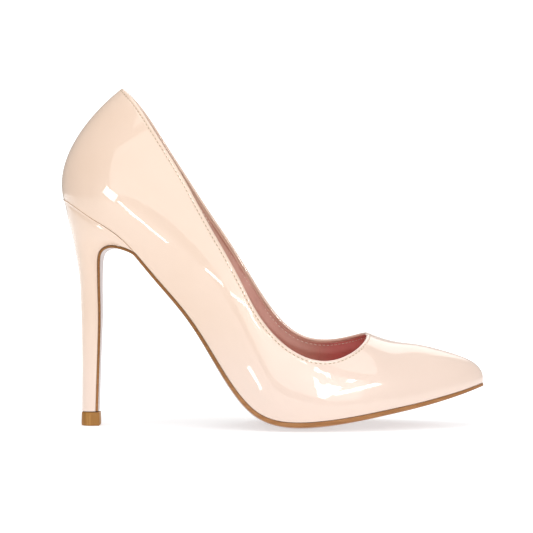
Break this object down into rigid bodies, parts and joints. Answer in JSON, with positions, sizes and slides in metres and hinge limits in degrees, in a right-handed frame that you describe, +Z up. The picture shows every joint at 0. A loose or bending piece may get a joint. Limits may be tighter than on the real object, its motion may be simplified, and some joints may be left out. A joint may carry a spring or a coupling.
{
  "type": "high heel pump",
  "caption": "Closed pointed-toe patent court shoe on a slim stiletto heel, with leather lining, padded sock and breasted outsole.",
  "frame": {"origin": "on the ground under the middle of the shoe's bounding box", "axes": "+X towards the toe, +Y towards the medial side (-Y lateral, right shoe), +Z up"},
  "size_m": [0.2054, 0.0733, 0.1641],
  "materials": {
    "patent": "patent, high gloss clear coat",
    "lining": "smooth leather, satin",
    "suede": "suede, matt",
    "stiffener": "resin-stiffened cloth, matt",
    "tape": "woven nylon tape, matt",
    "thread": "twisted polyester thread",
    "board": "cellulose insole board, matt",
    "foam": "soft latex foam, matt",
    "steel": "bright drawn steel",
    "sole": "smooth leather-board, tan dressed edge",
    "heel_plastic": "moulded, matt",
    "top_lift": "moulded polyurethane, semi-matt"
  },
  "bodies": {
    "root": {"upper": "patent", "heel_cover": "patent", "toe_puff": "stiffener", "interlining": "stiffener", "heel_counter": "stiffener", "topline_tape": "tape", "topline_stitching": "thread", "vamp_lining": "lining", "quarter_lining_lateral": "lining", "quarter_lining_medial": "lining", "heel_grip": "suede", "sock_lining": "lining", "sock_cushion": "foam", "insole_board": "board", "tuck_board": "board", "forepart_filler": "foam", "steel_shank": "steel", "shank_rivet_front": "steel", "shank_rivet_rear": "steel", "heel_screw": "steel", "heel_nail_1": "steel", "heel_nail_2": "steel", "heel_nail_3": "steel", "heel_nail_4": "steel", "heel_tube": "steel", "top_lift_pin": "steel", "outsole": "sole", "heel_core": "heel_plastic", "heel_top_lift": "top_lift"}
  },
  "joints": []
}
